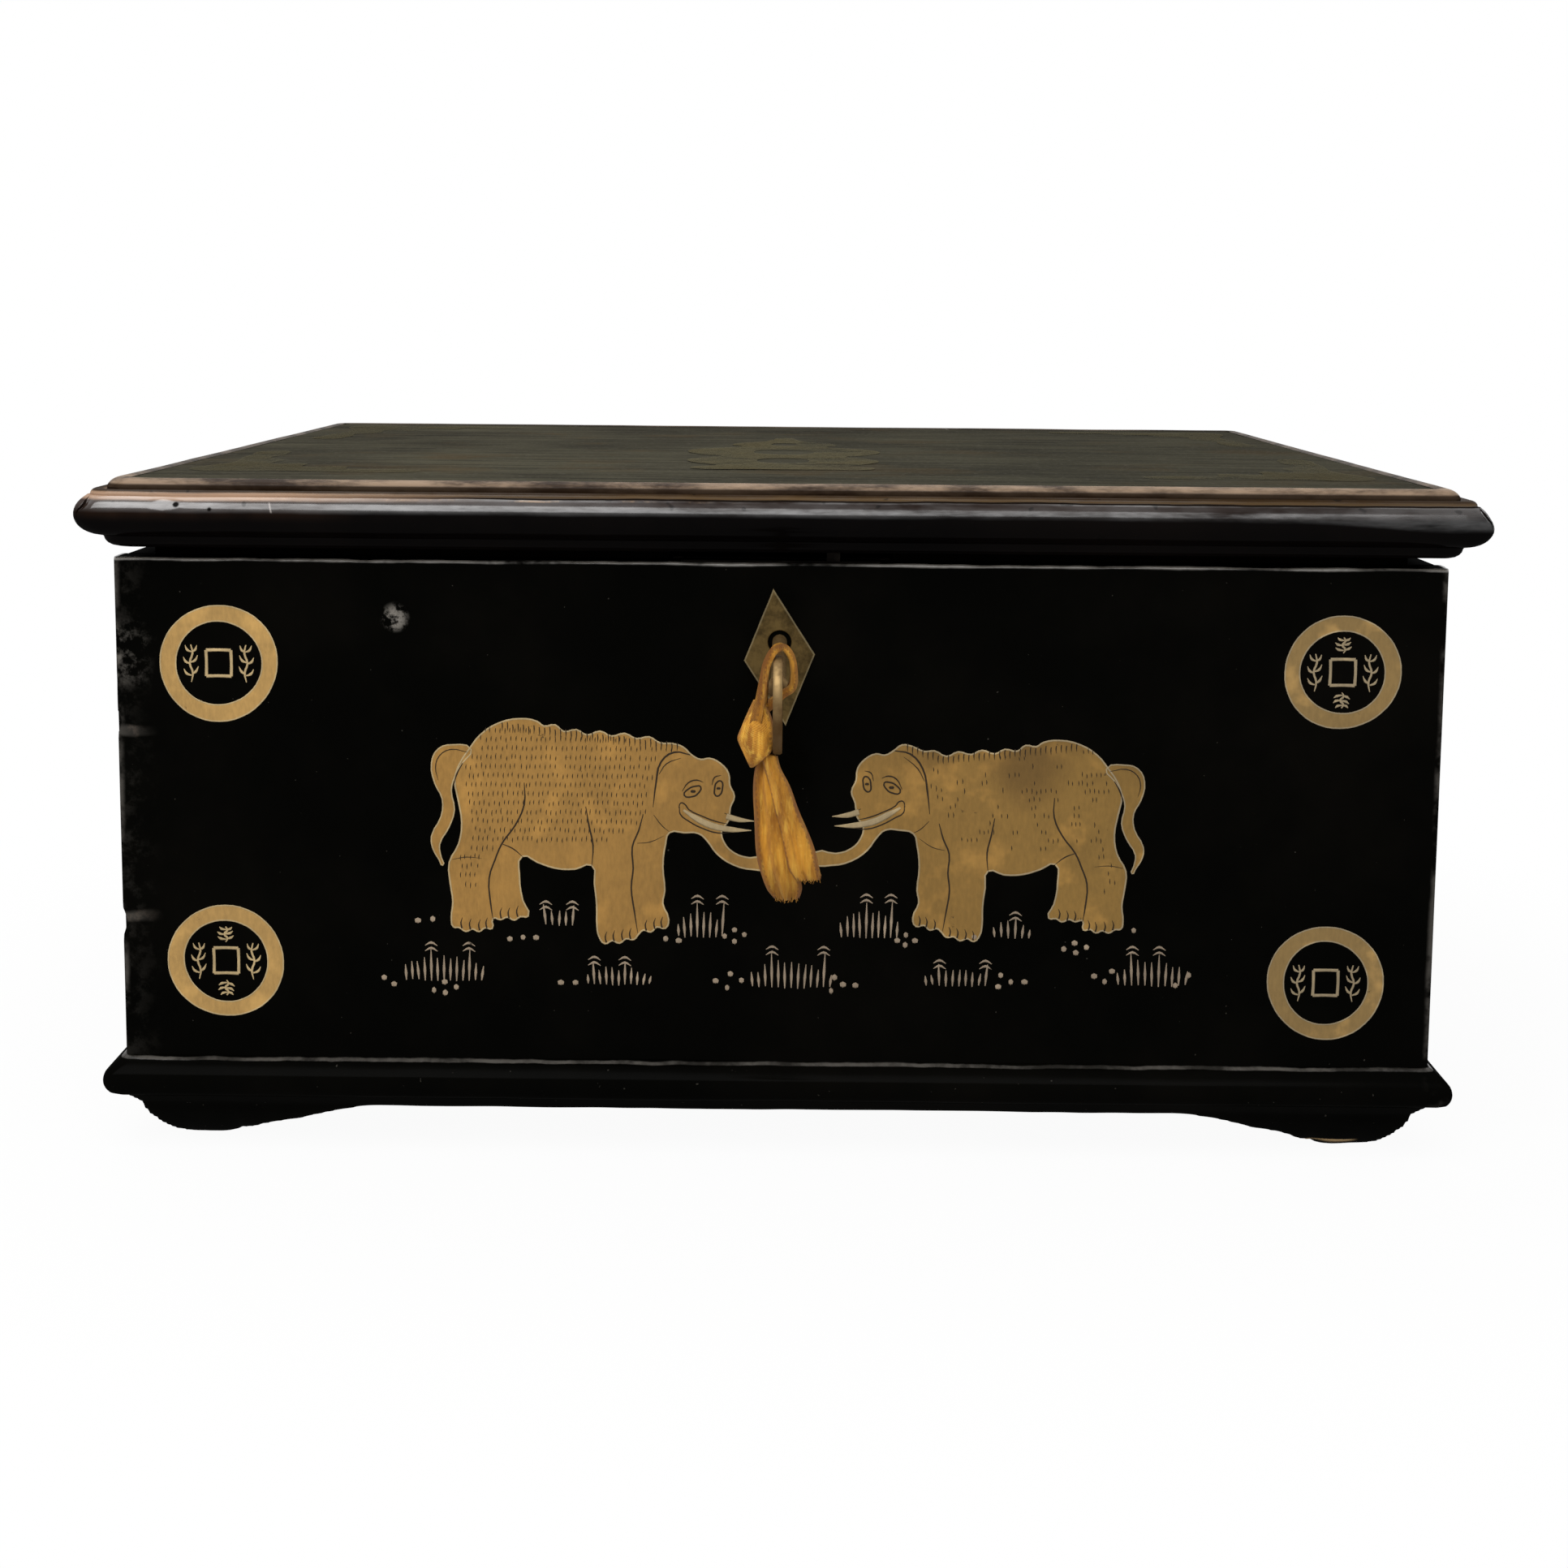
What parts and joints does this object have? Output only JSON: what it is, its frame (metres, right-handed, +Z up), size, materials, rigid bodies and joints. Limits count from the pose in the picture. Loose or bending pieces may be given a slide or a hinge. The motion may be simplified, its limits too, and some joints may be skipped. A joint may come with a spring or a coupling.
{
  "type": "deed box",
  "caption": "Lacquered wooden deed box with a moulded hinged lid, plinth with bracket feet, box lock, and a key with a knotted ribbon.",
  "frame": {"origin": "on the ground, at the middle of the object's length and of its reach from the lid's back moulding to the key's bow", "axes": "+X to the right seen from the front, along the box's length; front towards -Y; +Z up"},
  "size_m": [0.4206, 0.396, 0.2074],
  "materials": {
    "body_lacquer": "black lacquer, satin, with gilt figures",
    "plinth_lacquer": "black lacquer, satin, rubbed at its edges",
    "moulding_lacquer": "black lacquer over brown, worn through on the bead",
    "lid_lacquer": "faded black lacquer, olive brown",
    "lip_wood": "dark stained wood",
    "bare_wood": "plain wood, darkened",
    "hinge_brass": "dull brass",
    "escutcheon_brass": "dull greenish brass",
    "lock_iron": "dark iron",
    "screw_steel": "steel",
    "key_steel": "worn steel",
    "ribbon_silk": "golden yellow silk"
  },
  "bodies": {
    "box": {"foot_rail_front": "plinth_lacquer", "base_moulding_front": "plinth_lacquer", "foot_rail_back": "plinth_lacquer", "base_moulding_back": "plinth_lacquer", "foot_rail_left": "plinth_lacquer", "base_moulding_left": "plinth_lacquer", "foot_rail_right": "plinth_lacquer", "base_moulding_right": "plinth_lacquer", "bottom_board": "bare_wood", "front_board": "body_lacquer", "back_board": "body_lacquer", "left_board": "body_lacquer", "right_board": "body_lacquer", "lip_back": "lip_wood", "lip_left": "lip_wood", "lip_right": "lip_wood", "lip_front_left": "lip_wood", "lip_front_right": "lip_wood", "hinge_leaf_body_left": "hinge_brass", "hinge_pin_left": "hinge_brass", "hinge_leaf_body_right": "hinge_brass", "hinge_pin_right": "hinge_brass", "hinge_screws_body": "screw_steel", "lock_case": "lock_iron", "lock_cap": "lock_iron", "lock_cap_screws": "screw_steel", "escutcheon": "escutcheon_brass", "escutcheon_pins": "escutcheon_brass"},
    "lid": {"lid_moulding_front": "moulding_lacquer", "lid_moulding_back": "moulding_lacquer", "lid_moulding_left": "moulding_lacquer", "lid_moulding_right": "moulding_lacquer", "lid_board": "lid_lacquer", "hinge_leaf_lid_left": "hinge_brass", "hinge_leaf_lid_right": "hinge_brass", "hinge_screws_lid": "screw_steel", "strike_plate": "lock_iron", "strike_screws": "screw_steel"},
    "ribbon": {"ribbon": "ribbon_silk"},
    "key": {"key": "key_steel"},
    "bolt": {"lock_bolt": "lock_iron"}
  },
  "joints": [
    {"name": "lid_hinge", "type": "hinge", "parent": "box", "child": "lid", "pos_m": [0, 0.1866, 0.1854], "axis": [-1, 0, 0], "range_deg": [0, 110]},
    {"name": "key_draw", "type": "slide", "parent": "box", "child": "ribbon", "axis": [0, -0.9848, -0.1736], "range_m": [0, 0.024]},
    {"name": "key_turn", "type": "hinge", "parent": "ribbon", "child": "key", "pos_m": [0, -0.1324, 0.16], "axis": [0, 0.9848, 0.1736], "range_deg": [0, 180]},
    {"name": "bolt_slide", "type": "slide", "parent": "box", "child": "bolt", "axis": [1, 0, 0], "range_m": [0, 0.0081]}
  ],
  "couplings": [
    {"joint": "bolt_slide", "follows": "key_turn", "m_per_rad": 0.002546}
  ]
}
